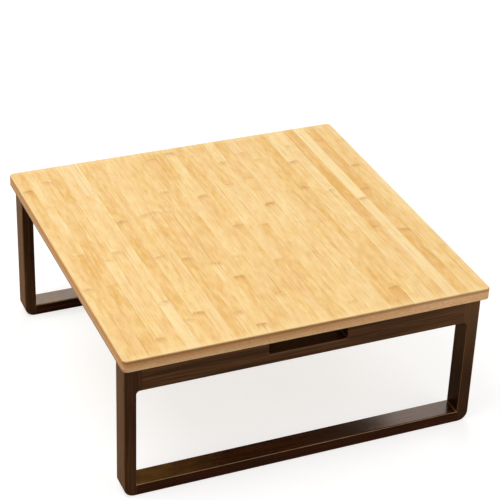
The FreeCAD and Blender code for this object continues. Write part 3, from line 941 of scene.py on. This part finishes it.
@dataclass
class Hinges:
    """The four detent hinges with their pins, springs, rivets and screws."""

    screws: tuple[str, ...] = ("table_plate_screws", "front_leg_plate_screws", "back_leg_plate_screws")
    rivets: str = "detent_rivets"

    def dress(self, nodes: Nodes, materials: MaterialsByFinish) -> None:
        """Dresses the hinges' pieces.

        Args:
            nodes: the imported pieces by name.
            materials: the finished materials by their finishes.
        """
        hinge_pieces = {
            "table_plate": ZINC_PLATE,
            "leg_plate": ZINC_PLATE,
            "hinge_pin": TURNED_PIN,
            "detent_spring": BLUED_SPRING,
        }
        for end in End:
            for side in Side:
                for piece, finish in hinge_pieces.items():
                    dress(nodes, f"{end.value}_{side.value}_{piece}", materials[finish])
        for group in self.screws:
            dress(nodes, group, materials[YELLOW_SCREW])
        dress(nodes, self.rivets, materials[TURNED_PIN])


@dataclass(frozen=True)
class Lamp:
    """A soft square studio lamp that is aimed at the middle of the table.

    Its bearing goes from the back towards the right, in degrees, its rise is above the level, its
    distance and width are in metres, and its power is in watts.
    """

    name: str
    bearing: float
    rise: float
    distance: float
    width: float
    power: float
    colour: str = "#FFFFFF"

    def hang(self, target: Vector) -> None:
        """Hangs the lamp.

        Args:
            target: the point that it is aimed at.
        """
        turn = math.radians(self.bearing)
        lift = math.radians(self.rise)
        level = math.cos(lift)
        towards = Vector((math.sin(turn) * level, math.cos(turn) * level, math.sin(lift)))
        light = bpy.data.lights.new(self.name, "AREA")
        light.size = self.width
        light.energy = self.power
        light.color = linear(self.colour)[:3]
        lamp = bpy.data.objects.new(self.name, light)
        lamp.location = target + towards * self.distance
        lamp.rotation_mode = "QUATERNION"
        lamp.rotation_quaternion = towards.to_track_quat("Z", "Y")
        bpy.context.scene.collection.objects.link(lamp)
        LOG.info("%s lamp", self.name)


@dataclass
class Studio:
    """The pale floor, the white surround, the lamps and the camera at the photograph's angle."""

    # The side of the square floor, in metres.
    floor_size: float = 60.0
    floor_colour: str = "#BCBBBA"
    # What a gloss shows of the floor near the table, how far in under the top's edges it is dimmest,
    # and how far from the middle it ends, in millimetres.
    floor_warmth: str = "#D0A170"
    floor_mirrored: float = 0.1
    floor_under: Ramp = (-60.0, -10.0, 0.4, 1.0)
    floor_shade: Ramp = (750.0, 1600.0, 1.0, 0.0)
    floor_mottle: float = 250.0
    floor_octaves: Octaves = (3.0, 0.5)
    floor_matt: Ramp = (0.3, 0.7, 0.8, 0.95)
    floor_specular: float = 0.1
    floor_glow: Ramp = (900.0, 2400.0, 0.66, 0.9)
    # How bright the surround is to the table.
    fill: float = 0.32
    fill_colour: str = "#FFFDFA"
    # The point that the lamps are aimed at.
    target: tuple[float, float, float] = (0.0, 0.0, 0.2)
    lamps: tuple[Lamp, ...] = (
        Lamp("key", bearing=-100.0, rise=66.0, distance=2.6, width=1.6, power=29.7),
        Lamp("window", bearing=22.0, rise=34.0, distance=3.6, width=2.2, power=43.0),
        Lamp("side", bearing=-95.0, rise=18.0, distance=3.0, width=1.8, power=14.2),
        Lamp("front", bearing=142.0, rise=28.0, distance=2.2, width=1.6, power=11.0),
    )
    # The camera's place in metres, its angles in degrees, and its lens and sensor in millimetres.
    camera_place: tuple[float, float, float] = (-0.94693, -2.21473, 1.65709)
    camera_bearing: float = 23.6205
    camera_pitch: float = 30.8275
    camera_roll: float = 2.2206
    camera_lens: float = 123.524
    sensor: float = 36.0

    def set_floor(self) -> None:
        """Lays the floor, which is white to the eye, keeps the shadow and is clear from below."""
        half = self.floor_size / 2
        corners = ((-half, -half, 0.0), (half, -half, 0.0), (half, half, 0.0), (-half, half, 0.0))
        shape = bmesh.new()
        shape.faces.new([shape.verts.new(corner) for corner in corners])
        mesh = bpy.data.meshes.new("floor")
        shape.to_mesh(mesh)
        shape.free()
        floor = bpy.data.objects.new("floor", mesh)
        bpy.context.scene.collection.objects.link(floor)
        recipe = Recipe("Pale studio floor, painted matt")
        add = recipe.add
        # The eye and a gloss see a white floor. Only near the table a gloss shows it warmer and
        # dimmer, and dimmest in the shade under the top, so that the dark lacquer stays dark.
        away = add("VectorMath", recipe.place, operation="LENGTH", output="Value")
        shade = add("MapRange", away, *self.floor_shade)
        warm = add("Math", add("LightPath", output="Is Glossy Ray"), shade, operation="MULTIPLY")
        dim = add("MapRange", recipe.off_centre(), *moved(self.floor_under, BOARD.high.x))
        warmth = add("VectorMath", linear(self.floor_warmth)[:3], None, None, dim, operation="SCALE")
        mottle = add("TexNoise", recipe.place, None, 1 / self.floor_mottle, *self.floor_octaves)
        recipe.shade(
            Base_Color=add("MixRGB", warm, linear(self.floor_colour), warmth),
            Roughness=add("MapRange", mottle, *self.floor_matt),
            Specular_IOR_Level=self.floor_specular,
        )
        # Away from the lamps the floor glows more, so that it stays white as far as the eye sees.
        glow = add("MapRange", away, *self.floor_glow)
        mirrored = add("MapRange", shade, 0.0, 1.0, 1.0, self.floor_mirrored)
        mirrored = add("Math", mirrored, dim, operation="MULTIPLY")
        glow = add("Math", recipe.seen(mirrored), glow, operation="MULTIPLY")
        lit = add("AddShader", recipe.shader.outputs["BSDF"], add("Emission", None, glow))
        below = add("NewGeometry", output="Backfacing")
        surface = add("MixShader", below, lit, add("BsdfTransparent"))
        recipe.feed(recipe.tree.nodes["Material Output"].inputs["Surface"], surface)
        mesh.materials.append(recipe.material)
        LOG.info("floor")

    def set_surround(self) -> None:
        """Sets the surround, which lights the table softly and is white where it is seen."""
        world = bpy.data.worlds.new("white studio surround")
        world.use_nodes = True
        wiring = Wiring(world.node_tree)
        strength = wiring.add("MapRange", wiring.seen(1.0), 0.0, 1.0, self.fill, 1.0)
        background = wiring.tree.nodes["Background"]
        wiring.feed(background.inputs["Color"], linear(self.fill_colour))
        wiring.feed(background.inputs["Strength"], strength)
        bpy.context.scene.world = world
        bpy.context.scene.view_settings.view_transform = "Standard"
        LOG.info("surround")

    def set_camera(self) -> None:
        """Sets the camera where the photograph was taken from, as its straight edges give it."""
        turn = math.radians(self.camera_bearing)
        dip = math.radians(self.camera_pitch)
        roll = math.radians(self.camera_roll)
        ahead = Vector((math.sin(turn) * math.cos(dip), math.cos(turn) * math.cos(dip), -math.sin(dip)))
        level = Vector((math.cos(turn), -math.sin(turn), 0.0))
        upright = level.cross(ahead)
        right = level * math.cos(roll) + upright * math.sin(roll)
        up = right.cross(ahead)
        turned = Matrix((right, up, -ahead)).transposed().to_4x4()
        data = bpy.data.cameras.new("camera")
        data.lens = self.camera_lens
        data.sensor_width = self.sensor
        camera = bpy.data.objects.new("camera", data)
        camera.matrix_world = Matrix.Translation(self.camera_place) @ turned
        bpy.context.scene.collection.objects.link(camera)
        bpy.context.scene.camera = camera
        LOG.info("camera")

    def build(self) -> None:
        """Sets up the whole studio."""
        self.set_floor()
        self.set_surround()
        for lamp in self.lamps:
            lamp.hang(Vector(self.target))
        self.set_camera()


@dataclass
class CoffeeTable:
    """The whole table: the top, the two leg frames and the hinges between them."""

    top: TableTop = field(default_factory=TableTop)
    frames: tuple[LegFrame, ...] = field(default_factory=lambda: tuple(LegFrame(end) for end in End))
    hinges: Hinges = field(default_factory=Hinges)

    def build(self, nodes: Nodes) -> None:
        """Makes the finishes and dresses each sub-assembly.

        Args:
            nodes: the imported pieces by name.
        """
        materials = {finish: finish.make() for finish in FINISHES}
        for assembly in (self.top, *self.frames, self.hinges):
            assembly.dress(nodes, materials)


def main() -> None:
    """Builds the looks in order."""
    logging.basicConfig(level=logging.INFO, format="%(name)s: %(message)s")
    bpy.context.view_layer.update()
    CoffeeTable().build(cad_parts)
    Studio().build()


if __name__ == "__main__":
    main()
